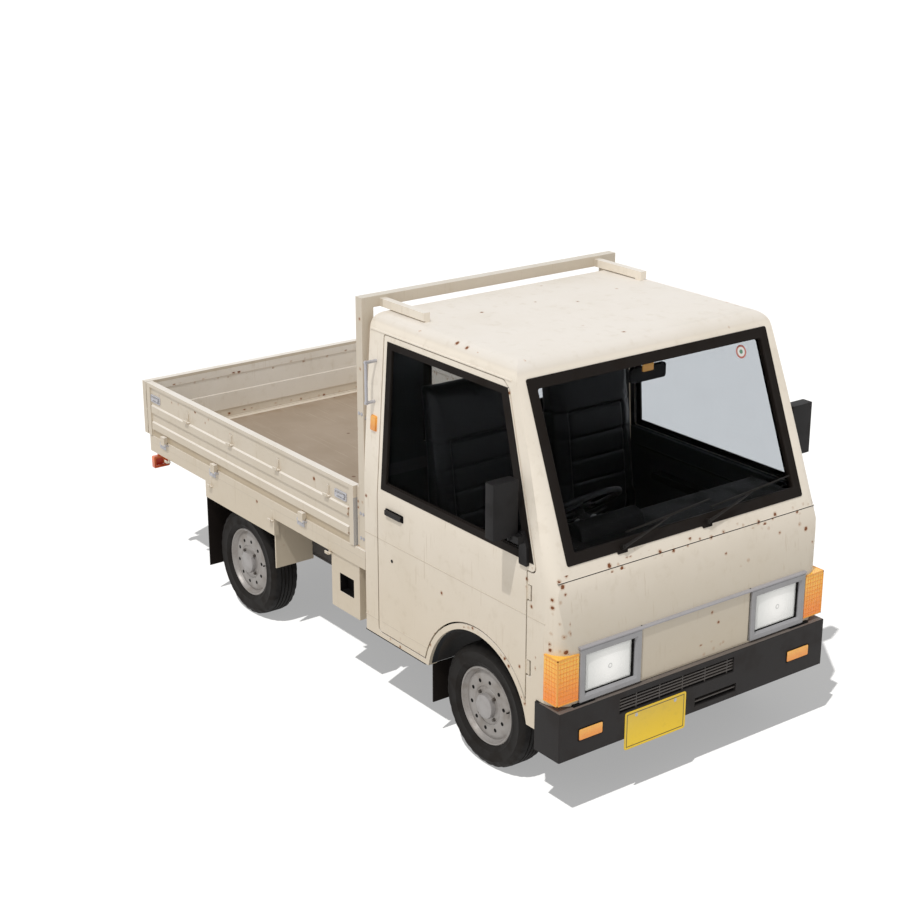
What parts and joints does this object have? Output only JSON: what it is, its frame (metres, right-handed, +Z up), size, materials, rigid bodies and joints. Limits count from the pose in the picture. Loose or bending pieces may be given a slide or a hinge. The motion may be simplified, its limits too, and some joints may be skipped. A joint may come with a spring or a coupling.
{
  "type": "kei truck",
  "caption": "Small forward-control truck with a cream cab, drop-side load bed, guard frame behind the cab, hinged doors and gates, and steered front wheels.",
  "frame": {"origin": "on the ground under the middle of the truck", "axes": "+X forward, +Y to the left, +Z up"},
  "size_m": [3.3885, 1.726, 1.828],
  "materials": {
    "cream_paint": "aged semi-gloss",
    "deck_steel": "worn",
    "chassis_black": "dusty satin",
    "engine_metal": "rough",
    "exhaust_steel": "stained",
    "glass": "clear",
    "seal_rubber": "matt",
    "bumper_plastic": "grained",
    "lamp_lens": "ribbed clear",
    "amber_lens": "clear amber",
    "plate_yellow": "satin",
    "dash_plastic": "grained",
    "seat_vinyl": "vinyl",
    "zinc_steel": "dull zinc",
    "wheel_steel": "silver grey",
    "tyre": "matt"
  },
  "bodies": {
    "chassis": {"chassis_rails": "chassis_black", "cross_members": "chassis_black", "engine_block": "engine_metal", "front_suspension": "chassis_black", "rear_axle": "chassis_black", "fuel_tank": "chassis_black", "exhaust": "exhaust_steel", "cab_floor": "chassis_black", "front_panel": "cream_paint", "cab_side_right": "cream_paint", "cab_side_left": "cream_paint", "roof_panel": "cream_paint", "rear_wall": "cream_paint", "windscreen": "glass", "rear_window": "glass", "window_seals": "seal_rubber", "front_bumper": "bumper_plastic", "headlamps": "lamp_lens", "corner_lamps": "amber_lens", "number_plates": "plate_yellow", "dashboard": "dash_plastic", "seats": "seat_vinyl", "wipers": "bumper_plastic", "grab_handles": "zinc_steel", "bed_floor": "deck_steel", "bed_frame": "cream_paint", "guard_frame": "cream_paint", "gate_hinges": "zinc_steel", "side_box": "cream_paint", "mud_flaps": "seal_rubber", "rear_lamps": "amber_lens"},
    "door_right": {"door_right": "cream_paint", "door_glass_right": "glass", "mirror_right": "bumper_plastic"},
    "door_left": {"door_left": "cream_paint", "door_glass_left": "glass", "mirror_left": "bumper_plastic"},
    "gate_right": {"gate_right": "cream_paint"},
    "gate_left": {"gate_left": "cream_paint"},
    "tailgate": {"tailgate": "cream_paint"},
    "knuckle_right": {"knuckle_right": "chassis_black"},
    "knuckle_left": {"knuckle_left": "chassis_black"},
    "steering_wheel": {"steering_wheel": "dash_plastic"},
    "wheel_front_right": {"rim_front_right": "wheel_steel", "tyre_front_right": "tyre"},
    "wheel_front_left": {"rim_front_left": "wheel_steel", "tyre_front_left": "tyre"},
    "wheel_rear_right": {"rim_rear_right": "wheel_steel", "tyre_rear_right": "tyre"},
    "wheel_rear_left": {"rim_rear_left": "wheel_steel", "tyre_rear_left": "tyre"}
  },
  "joints": [
    {"name": "door_right_hinge", "type": "hinge", "parent": "chassis", "child": "door_right", "pos_m": [1.48, -0.721, 0.7], "axis": [0, 0, 1], "range_deg": [0, 70]},
    {"name": "door_left_hinge", "type": "hinge", "parent": "chassis", "child": "door_left", "pos_m": [1.48, 0.721, 0.7], "axis": [0, 0, -1], "range_deg": [0, 70]},
    {"name": "gate_right_hinge", "type": "hinge", "parent": "chassis", "child": "gate_right", "pos_m": [-0.7, -0.731, 0.69], "axis": [1, 0, 0], "range_deg": [0, 180]},
    {"name": "gate_left_hinge", "type": "hinge", "parent": "chassis", "child": "gate_left", "pos_m": [-0.7, 0.731, 0.69], "axis": [-1, 0, 0], "range_deg": [0, 180]},
    {"name": "tailgate_hinge", "type": "hinge", "parent": "chassis", "child": "tailgate", "pos_m": [-1.6905, 0, 0.69], "axis": [0, -1, 0], "range_deg": [0, 180]},
    {"name": "steering_turn", "type": "hinge", "parent": "chassis", "child": "steering_wheel", "pos_m": [1.30439, -0.3405, 1.12], "axis": [-0.5878, 0, 0.809], "range_deg": [-612.5, 612.5]},
    {"name": "steer_right", "type": "hinge", "parent": "chassis", "child": "knuckle_right", "pos_m": [1.137, -0.5605, 0.265], "axis": [0, 0, 1], "range_deg": [-35, 35]},
    {"name": "steer_left", "type": "hinge", "parent": "chassis", "child": "knuckle_left", "pos_m": [1.137, 0.5605, 0.265], "axis": [0, 0, 1], "range_deg": [-35, 35]},
    {"name": "spin_front_right", "type": "hinge", "parent": "knuckle_right", "child": "wheel_front_right", "pos_m": [1.137, -0.6085, 0.265], "axis": [0, 1, 0], "continuous": true},
    {"name": "spin_front_left", "type": "hinge", "parent": "knuckle_left", "child": "wheel_front_left", "pos_m": [1.137, 0.6085, 0.265], "axis": [0, 1, 0], "continuous": true},
    {"name": "spin_rear_right", "type": "hinge", "parent": "chassis", "child": "wheel_rear_right", "pos_m": [-0.763, -0.6085, 0.265], "axis": [0, 1, 0], "continuous": true},
    {"name": "spin_rear_left", "type": "hinge", "parent": "chassis", "child": "wheel_rear_left", "pos_m": [-0.763, 0.6085, 0.265], "axis": [0, 1, 0], "continuous": true}
  ],
  "couplings": [
    {"joint": "steer_right", "follows": "steering_turn", "ratio": 0.057142},
    {"joint": "steer_left", "follows": "steering_turn", "ratio": 0.057142}
  ]
}
